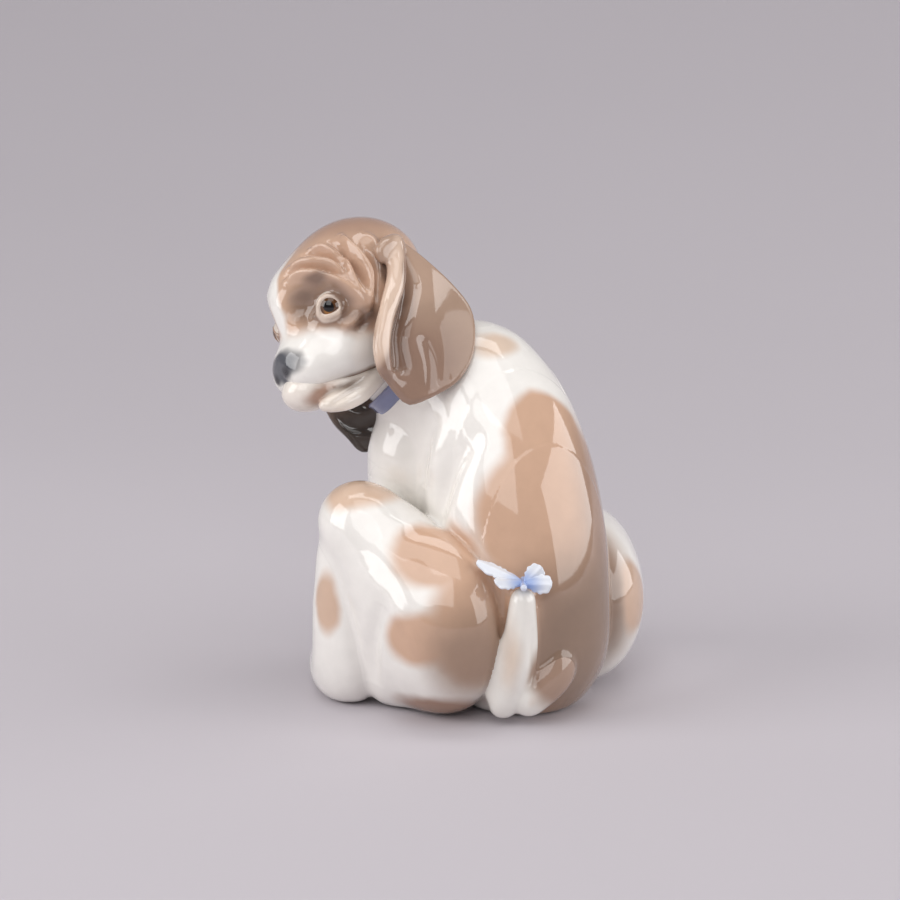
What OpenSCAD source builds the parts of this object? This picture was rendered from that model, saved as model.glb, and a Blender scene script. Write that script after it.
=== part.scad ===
// Glazed porcelain puppy, sitting, looking back over its left shoulder at a
// butterfly that has settled on its tail. Each node is one casting, cut so that
// it sits on its neighbours. The puppy's chest faces -Y, its left side is +X,
// and the origin is the middle of the base plate, on the surface it stands on.

/* [Figure] */
// Overall height of the figure
figure_h = 136; // [110:1:170]
// Wall of the drain-cast hollow pieces
wall = 4; // [3:0.5:5]
// Radius of the base plate
plate_r = 14; // [10:0.5:14]
// Thickness of the base plate
plate_t = 4; // [3:0.5:5]
// Radius of the vent hole in the base plate
vent_r = 3; // [2:0.5:4]

/* [Head] */
// Turn of the head to the puppy's left, from straight ahead
head_turn = 102; // [96:1:106]
// Nod of the head, downwards
head_nod = 10; // [6:1:14]
// Tilt of the head, left side up
head_tilt = 27; // [22:1:30]
// Radius of each eyeball
eye_r = 4.2; // [3.8:0.1:4.6]

/* [Collar] */
// Width of the collar band
collar_w = 5; // [3:0.5:6]
// How far the collar band stands off the neck
collar_t = 1.4; // [1:0.1:2]

/* [Tail and butterfly] */
// Height of the tail's tip above the surface
tail_tip_z = 41; // [38:1:44]
// Span of the butterfly's wings
wing_span = 20; // [18:1:24]

/* [Hidden] */

// The height at which the stations below were laid out, as drawn.
drawn_h = 136;
fine = 20;
smooth = 64;
// The luting gap that keeps a round piece clear of a cut in its neighbour.
gap = 0.1;
// How much larger than its ball a faceted socket has to be cut.
socket_grow = 1.03;
big = 130;
floor_cut = 50;

porcelain = "ivory";
tan_patch = "tan";
brown_patch = "rosybrown";
sky_blue = "lightsteelblue";
amber = "sienna";

// Where the skull sits, and the neck that carries it.
head_at = [34.3, -38.7, 115.5];
neck_low = [9, -19, 88];
neck_dir = [14, -11, 16] / norm([14, -11, 16]);
neck_run = 18;
neck_r = 15;
collar_at = [16, -25, 92];
plate_at = [0, 4, 0];
vent_at = [0, 8, 0];

// Every limb is a row of stations, each one [place, radii].
torso = [
  [[0, 8, 21], [25, 26, 26]],
  [[0, 8, 30], [25.5, 26.5, 26]],
  [[0, 3, 58], [25, 25, 25]],
  [[0, -7, 80], [22, 21, 20]],
  [[2, -12, 91], [16, 15, 15]]
];
chest = [
  [[0, -8, 26], [20, 18, 20]],
  [[0, -18, 50], [20, 18, 22]],
  [[4, -20, 74], [20, 16, 18]],
  [[11, -23, 82], [15, 14, 14]]
];
neck = [
  [neck_low, [16, 15, 14]],
  [neck_low + neck_dir * neck_run, [14, 14, 14]]
];
left_haunch = [
  [[42, -11, 54], [11, 11, 11]],
  [[33, -3, 36], [16, 20, 22]],
  [[25, 6, 26.5], [19, 24, 27]],
  [[29, -3, 14], [14, 16, 15]]
];
left_shank = [
  [[43, -13, 46], [9, 9, 11]],
  [[44, -13, 30], [10, 10, 12]],
  [[43, -14, 11], [10.5, 12, 11.5]],
  [[41, -24, 8], [8.8, 9, 8.5]],
  [[38, -32, 6.5], [7.5, 7.5, 6.8]]
];
right_haunch = [
  [[-37, -25, 29], [11, 11, 13]],
  [[-34, -12, 28], [15.5, 18, 21]],
  [[-24, 0, 24], [18, 22, 24.5]]
];
right_shank = [
  [[-38, -26, 24], [9, 9, 12]],
  [[-36, -12, 12], [9, 12, 12.5]],
  [[-36, -26, 8], [8.5, 11, 8.5]],
  [[-35, -35, 6.5], [8.5, 8, 7]]
];
left_arm = [
  [[17, -23, 67], [12, 12, 15]],
  [[20, -24, 48], [9, 9, 12]],
  [[17, -33, 28], [7.5, 7.5, 10]],
  [[15, -38, 12], [7, 7.5, 8.5]],
  [[14.5, -46, 6], [8, 7.5, 6.5]]
];
tail_root = [
  [[2, 29, 20], [5.5, 5.5, 6.5]],
  [[2, 32, 16], [6, 6, 7]],
  [[5.5, 32.8, 12], [6.2, 6, 7]],
  [[10.2, 31.6, 8.2], [6.2, 6, 7]]
];
tail_rise = [
  [[16.3, 27, 8], [6, 6, 7.8]],
  [[14.6, 30, 18], [7, 6.8, 8]],
  [[14.4, 31.6, 27.5], [5.6, 5.4, 6]],
  [[13.8, 32.6, tail_tip_z - 3], [3.4, 3.3, 3]]
];

// The head is drawn in its own frame: X forward, Y to its left, Z up.
skull = [
  [[-3, 0, 1], [20, 19.5, 19]],
  [[6, 0, -3], [16, 17.5, 16.5]]
];
cheeks = [
  [[-3, 0, -10], [15, 17.5, 15]],
  [[8, 0, -16], [11, 13, 10]]
];
muzzle = [
  [[6, 0, -12], [11, 11, 10]],
  [[19, 0, -15], [10.5, 10, 9]],
  [[22, 0, -18], [8.5, 8.5, 7]]
];
nose = [
  [[26, 0, -14.5], [4, 4, 3.5]],
  [[28, 0, -16.5], [3.2, 4, 3.5]]
];
jaw = [
  [[-1, 0, -23], [8, 11, 7]],
  [[12, 0, -27], [9, 9, 5.5]],
  [[21, 0, -26], [5.5, 6, 4.5]]
];
eye_spot = [12.5, 12, -5.8];
left_flap = [
  [[-12, 13, 5], [7, 3, 5]],
  [[-12, 17, -4], [11, 3, 9]],
  [[-6, 21.5, -18], [16.5, 2.8, 10.5]],
  [[-3, 24, -28], [15.5, 2.8, 9.5]],
  [[0, 25, -35.5], [10.5, 2.6, 5.5]]
];
right_flap = [
  [[-12, -12, 5], [7, 4, 5]],
  [[-13, -18, -8], [11, 4, 9]],
  [[-10, -22, -22], [12, 3.5, 9]],
  [[-7, -25, -34], [11, 3.2, 8]],
  [[-7, -26.5, -41], [7.5, 2.8, 5]]
];

// A butterfly's body and wings are drawn with the tail's tip as their origin,
// for a span of 20 mm.
bug_at = [13.8, 32.6, tail_tip_z + 0.4];
bug_turn = -30;
drawn_span = 20;
bug = [
  [[0, -4, 1.4], [0.7, 1.2, 0.7]],
  [[0, 0, 0.6], [1.2, 2.2, 1.2]],
  [[0, 3.4, 0.8], [1, 1.4, 1]],
  [[0, 5, 1.2], [0.9, 0.9, 0.9]]
];
left_fore_tip = [10.5, -2, 5];
left_hind_tip = [6, 2.5, 1.6];
right_fore_tip = [-3.4, -2, 3.4];
right_hind_tip = [-5.4, 2.6, 1];
fore_w = 2.4;
hind_w = 2.3;
wing_t = 0.6;
wing_z = 0.9;
wing_bank = 20;

function mirrored(stations) = [for (s = stations) [[-s[0].x, s[0].y, s[0].z], s[1]]];
function shrunk(stations, by) = [for (s = stations) [s[0], [for (r = s[1]) max(r - by, 1)]]];

// A soft lump of clay.
module egg(at, radii) {
  translate(at) scale(radii) sphere(r = 1, $fn = fine);
}

// A limb skins each pair of neighbouring stations.
module limb(stations) {
  for (i = [0 : len(stations) - 2])
    hull() {
      egg(stations[i][0], stations[i][1]);
      egg(stations[i + 1][0], stations[i + 1][1]);
    }
}

// Turns +Z onto a direction.
module facing(at, dir) {
  translate(at) rotate([0, acos(dir.z), atan2(dir.y, dir.x)]) children();
}

module in_head() {
  translate(head_at) rotate([head_tilt, head_nod, head_turn - 90]) children();
}

module above_collar() {
  facing(collar_at, neck_dir) translate([-big / 2, -big / 2, 0]) cube(big);
}

module below_collar() {
  facing(collar_at, neck_dir) translate([-big / 2, -big / 2, -big]) cube(big);
}

module below_floor() {
  translate([-big, -big, -floor_cut]) cube([2 * big, 2 * big, floor_cut]);
}

// The ring the collar fills, let into the neck by one millimetre.
module collar_ring(grow = 0) {
  facing(collar_at, neck_dir)
    rotate_extrude($fn = smooth)
      translate([neck_r - 1 - grow, -collar_w / 2 - grow])
        square([1 + collar_t + 2 * grow, collar_w + 2 * grow]);
}

module torso_form(inset = 0) {
  limb(shrunk(torso, inset));
  limb(shrunk(chest, inset));
  limb(shrunk(neck, inset));
}

module nape_form(inset = 0) {
  limb(shrunk([[collar_at, [15, 15, 14]], [neck_low + neck_dir * 24, [14, 14, 13]]], inset));
}

module head_form() {
  in_head() {
    limb(skull);
    limb(cheeks);
    limb(muzzle);
    limb(nose);
  }
  difference() {
    nape_form();
    below_collar();
  }
}

module socket(side) {
  in_head() translate([eye_spot.x, side * eye_spot.y, eye_spot.z])
    sphere(r = eye_r * socket_grow, $fn = fine);
}

module eyeball(side) {
  in_head() translate([eye_spot.x, side * eye_spot.y, eye_spot.z])
    sphere(r = eye_r, $fn = smooth);
}

module left_leg_form() {
  limb(left_haunch);
  limb(left_shank);
}

module right_leg_form() {
  limb(right_haunch);
  limb(right_shank);
}

module tail_form() {
  limb(tail_root);
  limb([tail_root[3], tail_rise[0]]);
  limb(tail_rise);
}

module body_shell() color(porcelain)
  difference() {
    torso_form();
    torso_form(wall);
    above_collar();
    below_floor();
    translate(plate_at - [0, 0, 1]) cylinder(r = plate_r + gap, h = wall + plate_t, $fn = smooth);
    collar_ring(gap);
  }

module base_plate() color(porcelain)
  difference() {
    translate(plate_at) cylinder(r = plate_r, h = plate_t, $fn = smooth);
    translate(vent_at - [0, 0, 1]) cylinder(r = vent_r, h = plate_t + 2, $fn = smooth);
  }

module collar() color(sky_blue) collar_ring();

module head_shell() color(tan_patch)
  difference() {
    head_form();
    in_head() limb(shrunk(skull, wall));
    nape_form(wall);
    socket(1);
    socket(-1);
    collar_ring(gap);
    below_collar();
  }

module lower_jaw() color(porcelain)
  difference() {
    in_head() limb(jaw);
    head_form();
    collar_ring(gap);
    torso_form();
  }

module left_eye() color(amber) eyeball(1);
module right_eye() color(amber) eyeball(-1);

module ear(flap) color(brown_patch)
  difference() {
    in_head() limb(flap);
    head_form();
    torso_form();
    in_head() limb(jaw);
    collar_ring(gap);
  }

module left_ear() ear(left_flap);
module right_ear() ear(right_flap);

module thigh(haunch) color(tan_patch)
  difference() {
    limb(haunch);
    limb(shrunk(haunch, wall));
    torso_form();
    below_floor();
  }

module left_thigh() thigh(left_haunch);
module right_thigh() thigh(right_haunch);

module hind_foot(shank, haunch) color(porcelain)
  difference() {
    limb(shank);
    limb(haunch);
    torso_form();
    below_floor();
  }

module left_hind_foot() hind_foot(left_shank, left_haunch);
module right_hind_foot() hind_foot(right_shank, right_haunch);

module foreleg(arm) color(porcelain)
  difference() {
    limb(arm);
    torso_form();
    left_leg_form();
    right_leg_form();
    below_floor();
  }

module left_foreleg() foreleg(left_arm);
module right_foreleg() foreleg(mirrored(left_arm));

module tail() color(porcelain)
  difference() {
    tail_form();
    torso_form();
    left_leg_form();
    below_floor();
  }

module in_bug() {
  translate(bug_at) rotate(bug_turn) children();
}

module butterfly_body() color(sky_blue)
  difference() {
    in_bug() limb(bug);
    tail_form();
  }

// A wing is a thin leaf, skinned from its root through its middle to its tip.
module wing(drawn_tip, width) {
  tip = drawn_tip * wing_span / drawn_span;
  side = sign(tip.x);
  color(sky_blue)
    difference() {
      in_bug() hull() {
        translate([side * wing_t, tip.y * 0.15, wing_z]) sphere(r = wing_t, $fn = fine);
        translate([tip.x * 0.55, tip.y * 0.55 - width / 2, wing_z + tip.z * 0.45])
          sphere(r = wing_t, $fn = fine);
        translate([tip.x, tip.y, wing_z + tip.z]) rotate([0, -side * wing_bank, 0])
          scale([width, width, wing_t]) sphere(r = 1, $fn = fine);
      }
      in_bug() limb(bug);
      tail_form();
    }
}

module left_forewing() wing(left_fore_tip, fore_w);
module left_hindwing() wing(left_hind_tip, hind_w);
module right_forewing() wing(right_fore_tip, fore_w);
module right_hindwing() wing(right_hind_tip, hind_w);

module sized() scale(figure_h / drawn_h) children();

sized() body_shell();
sized() base_plate();
sized() collar();
sized() head_shell();
sized() lower_jaw();
sized() left_eye();
sized() right_eye();
sized() left_ear();
sized() right_ear();
sized() left_thigh();
sized() right_thigh();
sized() left_hind_foot();
sized() right_hind_foot();
sized() left_foreleg();
sized() right_foreleg();
sized() tail();
sized() butterfly_body();
sized() left_forewing();
sized() left_hindwing();
sized() right_forewing();
sized() right_hindwing();
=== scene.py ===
# %% [markdown]
# # A porcelain puppy with a butterfly on its tail
# The real figurine is slip-cast porcelain. Liquid clay is poured into plaster
# moulds, and the hollow castings are luted together with more liquid clay while
# they are damp. The figure is fired, painted, glazed clear and fired again.
# Here each casting is modelled as its own closed mesh. The clay is described by
# formulas that say how far a point is from the surface (a distance field), which
# is the easiest way to get the soft, melted joints that wet clay and glaze have.

# %% Load the CAD frame
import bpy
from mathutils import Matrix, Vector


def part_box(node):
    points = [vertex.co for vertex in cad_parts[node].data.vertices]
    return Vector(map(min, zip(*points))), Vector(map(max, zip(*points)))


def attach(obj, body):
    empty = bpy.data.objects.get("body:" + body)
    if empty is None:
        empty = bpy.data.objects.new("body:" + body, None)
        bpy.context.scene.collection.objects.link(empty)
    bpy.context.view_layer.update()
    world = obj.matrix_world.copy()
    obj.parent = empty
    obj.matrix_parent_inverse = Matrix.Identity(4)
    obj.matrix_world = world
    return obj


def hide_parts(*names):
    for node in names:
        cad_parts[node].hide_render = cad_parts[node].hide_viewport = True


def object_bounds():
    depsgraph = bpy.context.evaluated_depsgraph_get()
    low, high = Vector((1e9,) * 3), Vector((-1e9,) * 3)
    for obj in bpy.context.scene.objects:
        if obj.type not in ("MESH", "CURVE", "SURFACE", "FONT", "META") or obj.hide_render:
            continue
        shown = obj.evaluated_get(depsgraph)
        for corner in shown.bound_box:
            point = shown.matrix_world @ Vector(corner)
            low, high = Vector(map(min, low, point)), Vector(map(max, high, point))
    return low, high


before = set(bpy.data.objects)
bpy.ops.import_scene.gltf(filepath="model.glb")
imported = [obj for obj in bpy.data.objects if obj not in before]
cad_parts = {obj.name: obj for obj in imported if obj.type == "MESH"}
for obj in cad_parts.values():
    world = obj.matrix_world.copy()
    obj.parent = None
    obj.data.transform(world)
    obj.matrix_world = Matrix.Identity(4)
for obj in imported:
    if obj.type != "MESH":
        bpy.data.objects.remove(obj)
cad_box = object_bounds()
print("CAD nodes:", len(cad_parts))

# %% Modules and units
import itertools
import math
import time
import bpy
import numpy as np
import openvdb as vdb
from mathutils import Euler, Vector

MM = 0.001                      # the clay is shaped in millimetres, Blender counts in metres
started = time.time()


def node_box(node):
    """Lowest and highest corner of a CAD node, in millimetres."""
    low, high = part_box(node)
    return np.array(low) / MM, np.array(high) / MM


# %% [markdown]
# ## Clay as distance fields
# A field takes an array of points and returns one number for each: negative
# inside the clay, positive outside, zero on the surface. An egg is the basic
# lump. Melding two fields leaves a soft fillet where they meet, which is what a
# brush of slip leaves on a luted joint, and pressing is a thumb in wet clay.

# %% Lumps and how they join
TINY = 1e-6                     # keeps a length that is divided by from being zero


def egg(p, at, radii):
    """An ellipsoid around a point, with its three radii along X, Y and Z."""
    radii = np.asarray(radii, p.dtype)
    q = (p - np.asarray(at, p.dtype)) / radii
    k0 = np.sqrt((q * q).sum(1)) + TINY
    q = q / radii
    k1 = np.sqrt((q * q).sum(1)) + TINY
    return k0 * (k0 - 1) / k1


def meld(soft, *fields):
    """Joins lumps with a fillet about `soft` millimetres deep."""
    total = -fields[0] / soft
    for f in fields[1:]:
        total = np.logaddexp(total, -f / soft)
    return -soft * total


def press(f, tool, soft):
    """Presses a tool into the clay, leaving a rounded rim."""
    return soft * np.logaddexp(f / soft, -tool / soft)


# %% [markdown]
# ## Limbs
# A limb is a row of eggs along a smooth curve, added up with exponentials, so
# that no single egg shows. Only points near the limb are worked out, because
# the far ones have no say in the shape.

# %% Smooth rows of eggs
def spline(rows, step):
    """Rows about `step` apart on a Catmull-Rom curve through the given ones."""
    rows = np.asarray(rows, float)
    ends = np.vstack([2 * rows[0] - rows[1], rows, 2 * rows[-1] - rows[-2]])
    made = []
    for a, b, c, d in zip(ends, ends[1:], ends[2:], ends[3:]):
        n = max(1, round(np.linalg.norm(c[:3] - b[:3]) / step))
        for t in np.arange(n) / n:
            made.append(0.5 * (2 * b + (c - a) * t + (2 * a - 5 * b + 4 * c - d) * t * t
                               + (3 * b - a - 3 * c + d) * t ** 3))
    return np.array(made + [rows[-1]])


REACH = 9.0                     # beyond this many millimetres a lump has no say


def limb(p, stations, soft=1.5, step=2.0):
    """A smooth limb through stations (x, y, z, three radii)."""
    rows = spline(stations, step)
    out = np.full(len(p), REACH, p.dtype)
    pad = rows[:, 3:].max(1)[:, None] + REACH
    near = ((p > (rows[:, :3] - pad).min(0)) & (p < (rows[:, :3] + pad).max(0))).all(1)
    q = p[near]
    gaps = np.linalg.norm(np.diff(rows[:, :3], axis=0), axis=1)
    gaps = np.append(gaps, gaps[-1])
    total = np.full(len(q), 1e-30, p.dtype)
    for i, (row, gap) in enumerate(zip(rows, gaps)):
        share = gap / math.sqrt(2 * math.pi * row[3:].mean() * soft)
        if i in (0, len(rows) - 1):
            share = 0.8
        total += min(share, 1) * np.exp(-egg(q, row[:3], row[3:]) / soft)
    out[near] = -soft * np.log(total)
    return out


# %% [markdown]
# ## Fingertip strokes
# Folds of skin and creases between muscles are strokes along a line. Added to a
# field they sink a groove, and subtracted they raise a fold. Each stroke is slid
# along its own radius to the surface, so its line only has to pass near it.

# %% Strokes over the clay
STROKE_STEP = 1.4               # millimetres between the points of a stroke
SLIDE = 7                       # points this much farther off are still looked at


def stroke(p, line, width, centre):
    """1 on a line over the clay, fading to each side and towards its ends."""
    line = spline(line, STROKE_STEP)
    centre = np.asarray(centre, float)
    out = np.zeros(len(p), p.dtype)
    mid = line.mean(0)
    span = np.linalg.norm(line - mid, axis=1).max() + 3 * width + SLIDE
    near = ((p - mid) ** 2).sum(1) < span ** 2
    q = p[near] - centre
    unit = q / (np.sqrt((q * q).sum(1)) + TINY)[:, None]
    best = np.full(len(q), 1e9)
    along = np.zeros(len(q))
    for i, (a, b) in enumerate(zip(line, line[1:])):
        a, b = a - centre, b - centre
        s = unit * (np.linalg.norm(a + b) / 2) - a
        ab = b - a
        h = np.clip(s @ ab / (ab @ ab), 0, 1)
        foot = a + h[:, None] * ab
        gap = ((unit * np.linalg.norm(foot, axis=1)[:, None] - foot) ** 2).sum(1)
        hit = gap < best
        best[hit] = gap[hit]
        along[hit] = (i + h[hit]) / (len(line) - 1)
    out[near] = np.exp(-best / width ** 2) * np.sqrt(np.sin(np.pi * np.clip(along, 0.02, 0.98)))
    return out


# %% [markdown]
# ## From field to mesh
# The field is sampled on a fine lattice, but only in blocks that the surface can
# pass through, because empty space costs as much as clay. OpenVDB, the library
# behind Blender's voxel remesher, turns the samples into quads, and each vertex
# is then slid along the field's slope until it lies on the true surface.

# %% Sample and skin
BLOCK = 4                       # lattice points along each side of a block


def skin(field, low, high, voxel):
    """Vertices and quads of field = 0 inside a box."""
    low, high = np.asarray(low, float) - 2 * voxel, np.asarray(high, float) + 2 * voxel
    coarse = BLOCK * voxel
    n = np.ceil((high - low) / coarse).astype(int)
    block = np.stack(np.meshgrid(*[np.arange(m) for m in n], indexing="ij"), -1).reshape(-1, 3)
    rough = field((low + (block + 0.5) * coarse).astype(np.float32))
    limit = 3 * voxel
    dense = np.clip(rough, -limit, limit).reshape(n)
    for axis in range(3):
        dense = dense.repeat(BLOCK, axis)
    inner = np.stack(np.meshgrid(*[np.arange(BLOCK)] * 3, indexing="ij"), -1).reshape(-1, 3)
    cells = (block[np.abs(rough) < coarse * 1.15][:, None] * BLOCK + inner).reshape(-1, 3)
    values = field((low + (cells + 0.5) * voxel).astype(np.float32))
    dense[tuple(cells.T)] = np.clip(values, -limit, limit)
    grid = vdb.FloatGrid()
    grid.background = float(limit)
    grid.copyFromArray(np.ascontiguousarray(dense, np.float32))
    points, quads = grid.convertToQuads(0.0)
    return low + (np.asarray(points, float) + 0.5) * voxel, np.asarray(quads)[:, ::-1]


# %% Settle the vertices
def settle(field, points, most, h=0.05):
    """Slides points down the field's slope onto its surface, by `most` at the farthest."""
    f = field(points)
    slope = np.stack([(field(points + h * axis) - f) / h for axis in np.eye(3)], 1)
    move = -(f / ((slope ** 2).sum(1) + TINY))[:, None] * slope
    size = np.linalg.norm(move, axis=1, keepdims=True) + 1e-9
    return points + move * np.minimum(1, most / size)


# %% Build one piece
shaped = {}                     # every piece made so far, by the name of its CAD node


def piece(name, field, margin, voxel):
    """Meshes a field in a CAD node's box, widened by a margin, and stands the mesh in for that node."""
    low, high = node_box(name)
    points, quads = skin(field, low - margin, high + margin, voxel)
    points = settle(field, points, 0.3 * voxel)
    mesh = bpy.data.meshes.new(f"glazed_{name}")
    mesh.from_pydata((points * MM).tolist(), [], quads.tolist())
    mesh.shade_smooth()
    mesh.set_sharp_from_angle(angle=math.radians(50))
    obj = shaped[name] = bpy.data.objects.new(f"glazed_{name}", mesh)
    bpy.context.scene.collection.objects.link(obj)
    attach(obj, "root")
    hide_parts(name)
    print(f"{name}: {len(quads)} quads, {time.time() - started:.0f} s")


# %% [markdown]
# ## The body's lumps
# The trunk, both haunches, both hind feet, both forelegs and the tail come out of
# moulds of their own. Their stations stand close to the CAD's, in millimetres.
# The puppy's chest faces -Y and its left side is +X.

# %% The trunk
TORSO = [(0, 8, 19, 24.5, 25.5, 25), (0, 8, 32, 25.5, 26.5, 25), (0, 3, 58, 25, 25, 25),
         (0, -7, 80, 22, 21, 20), (2, -12, 91, 16, 15, 15)]
CHEST = [(0, -8, 26, 20, 18, 20), (0, -18, 50, 20, 18, 22), (4, -20, 74, 20, 16, 18),
         (11, -23, 82, 15, 14, 14)]
NECK = [(9, -19, 88, 16, 15, 14), (24.7, -31.4, 106, 14, 14, 14)]

# %% The hind legs
LEFT_HAUNCH = [(42, -11, 54, 11, 11, 11), (33, -3, 36, 16, 20, 22), (25, 6, 26.5, 19, 24, 27)]
LEFT_RUMP = [(27, 1, 25, 17, 18, 20), (32, -6, 13, 12.5, 12, 13.5)]
LEFT_SHANK = [(43, -13, 46, 9, 9, 11), (44, -13, 30, 10, 10, 12), (43, -14, 11, 10.5, 12, 11.5),
              (41, -24, 8, 8.8, 9, 8.5), (38, -32, 6.5, 7.5, 7.5, 6.8)]
RIGHT_HAUNCH = [(-37, -25, 29, 11, 11, 13), (-34, -12, 28, 15.5, 18, 21), (-24, 0, 24, 18, 22, 24.5)]
RIGHT_SHANK = [(-38, -26, 24, 9, 9, 12), (-36, -12, 12, 9, 12, 12.5), (-36, -26, 8, 8.5, 11, 8.5),
               (-35, -35, 6.5, 8.5, 8, 7)]

# %% The forelegs and the tail
LEFT_ARM = [(17, -21, 68, 14, 14, 17), (20, -24, 48, 9, 9, 12), (17, -33, 28, 7.5, 7.5, 10),
            (15, -38, 12, 7, 7.5, 8.5), (14.5, -46, 6, 8, 7.5, 6.5)]
RIGHT_ARM = [(-x, y, z, a, b, c) for x, y, z, a, b, c in LEFT_ARM]
tail_top = node_box("tail")[1][2]
TAIL_ROOT = [(2, 29, 20, 5, 5, 6), (2, 31.5, 16.5, 5.5, 5.4, 6.3), (5.5, 31.6, 12.5, 5.6, 5.2, 6.2),
             (10.4, 30, 8.8, 5.4, 5, 6.2)]
TAIL_RISE = [(16.2, 26, 8.4, 5.2, 5.2, 6.6), (14.7, 29.4, 18, 6.2, 6, 7),
             (14.4, 31.4, tail_top - 13.5, 5, 4.8, 6), (13.8, 32.4, tail_top - 3, 3.2, 3.1, 3)]
print("tail's tip at", tail_top.round(1), "mm")

# %% [markdown]
# ## Seams that don't show
# A luted seam is fettled away, so the surface has to run on across it. All the
# lumps are melded into one surface first. Each casting is then the part of it
# that lies nearest its own lump, with a lap that dives under its neighbour, as
# a luted tongue does.

# %% All the lumps together
LUMPS = {
    "body_shell": lambda p: meld(3, limb(p, TORSO, 2), limb(p, CHEST, 2), limb(p, NECK, 2)),
    "left_thigh": lambda p: meld(2, limb(p, LEFT_HAUNCH, 2), limb(p, LEFT_RUMP, 2)),
    "right_thigh": lambda p: limb(p, RIGHT_HAUNCH, 2),
    "left_hind_foot": lambda p: limb(p, LEFT_SHANK),
    "right_hind_foot": lambda p: limb(p, RIGHT_SHANK),
    "left_foreleg": lambda p: limb(p, LEFT_ARM),
    "right_foreleg": lambda p: limb(p, RIGHT_ARM),
    "tail": lambda p: meld(0.5, limb(p, TAIL_ROOT, 0.8, 1.5), limb(p, TAIL_RISE, 0.8, 1.5)),
}
PAINTED = ["body_shell", "left_thigh", "right_thigh"]
FIGURE_CENTRE = (0, 0, 45)
CREASES = [  # (line over the body, width, depth), in millimetres
    ([(18, 11, 80), (22, 8, 73), (24.5, 6.5, 66), (25.8, 5.5, 60), (27, 5, 53)], 3.6, 2.7),
    ([(19, 3, 80), (23, 1, 74), (25, 0, 66)], 3.0, -0.8),
    ([(22, -3, 85), (25, -5, 75), (27, -7, 65)], 3.6, 1.0),
    ([(45, 10, 36), (45, 5, 23), (40, 0, 11)], 3.0, 1.6),
    ([(48, -38, 8), (48, -30, 7), (47, -24, 6)], 1.2, 0.7),
]
HAIR = [  # low locks combed into the haunch and the tail
    ([(44, 4, 52), (40, 14, 42), (33, 22, 30)], 3.0, -0.7),
    ([(46, 4, 44), (42, 16, 33), (36, 23, 20)], 2.6, -0.6),
    ([(14, 38, 30), (13, 38, 20), (12.5, 38, 8)], 1.5, 0.8),
    ([(17, 36, 34), (19.5, 35, 22), (20, 33, 10)], 1.3, 0.5),
]
SEAMS = [  # (piece, its neighbour, width, depth) of the valley between them
    ("left_thigh", "body_shell", 2.0, 1.0), ("right_thigh", "body_shell", 2.0, 0.8),
    ("left_hind_foot", "left_thigh", 3.0, 0.5), ("tail", "body_shell", 1.0, 0.3),
    ("tail", "left_thigh", 1.0, 0.3),
]


def whole_body(parts, p):
    """All the lumps melded, with the valleys and creases drawn in, flattened where they stand."""
    f = meld(1.0, *parts.values())
    for one, other, width, depth in SEAMS:
        near = np.maximum(parts[one], parts[other]) / 4
        f = f + depth * np.exp(-((parts[one] - parts[other]) / width) ** 2 - near ** 2)
    for line, width, depth in CREASES + HAIR:
        f = f + depth * stroke(p, line, width, FIGURE_CENTRE)
    return meld(-0.6, f, -p[:, 2])


# %% Cut the castings apart
LAP = 1.5                       # how far a casting reaches past its seam
SINK = 1.2                      # past the seam it dives under its neighbour at this slope
RANK_STEP = 0.015               # neighbours lie this much deeper, so that one of them always shows
LOWER = {"left_foreleg": 6, "right_foreleg": 6}     # the trunk keeps the shoulders


def casting(name):
    """One casting: the part of the whole that lies nearest its own lump."""
    rank = list(LUMPS).index(name) * RANK_STEP

    def field(p):
        parts = {n: lump(p) for n, lump in LUMPS.items()}
        near = {n: f + LOWER.get(n, 0) for n, f in parts.items()}
        past = (near[name] - np.min([f for n, f in near.items() if n != name], axis=0)) / 2
        return np.maximum(whole_body(parts, p) + rank + SINK * np.maximum(past - 0.4, 0), past - LAP)
    return field


BODY_VOXEL = 0.65               # size of the lattice's cells
BODY_MARGIN = 8                 # room round a CAD box for the laps and fillets
for name in LUMPS:
    piece(name, casting(name), BODY_MARGIN, BODY_VOXEL)

# %% [markdown]
# ## The head's own frame
# The head is turned over the shoulder, nodded and tilted. It is easier to model
# it looking straight ahead, with X forward, Y to its left and Z up, and to turn
# the points instead. The two CAD eyes say where that frame sits.

# %% Turn the head
TILT, NOD, TURN = 27, 10, 12    # degrees, the same as the CAD's
HEAD_TURN = np.array(Euler([math.radians(a) for a in (TILT, NOD, TURN)]).to_matrix())
EYE = np.array([12.5, 12, -5.8])
eyes = {side: np.mean(node_box(f"{side}_eye"), 0) for side in ("left", "right")}
HEAD_AT = (eyes["left"] + eyes["right"]) / 2 - HEAD_TURN @ (EYE * (1, 0, 1))
print("head centre", HEAD_AT.round(1), "eyes apart", np.linalg.norm(eyes["left"] - eyes["right"]).round(1))


def seen_from(p, at, axes):
    """Points as seen from a place, along one axis or along three."""
    return (p - at.astype(p.dtype)) @ axes.astype(p.dtype)


def in_head(p):
    """Points of the figure in the head's own frame."""
    return seen_from(p, HEAD_AT, HEAD_TURN)


def mirrored(q):
    """Folds the right side of the head onto the left."""
    return q * np.array([1, 0, 1], q.dtype) + np.abs(q * np.array([0, 1, 0], q.dtype))


# %% [markdown]
# ## The skull and its folds
# A puppy's skin is too large for it: it bunches in folds above the eyes. On the
# real piece a modelling tool drew them. The skull is a few eggs, and the folds
# are raised strokes with sharp grooves between them, a little lower on the side
# that is turned away.

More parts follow.
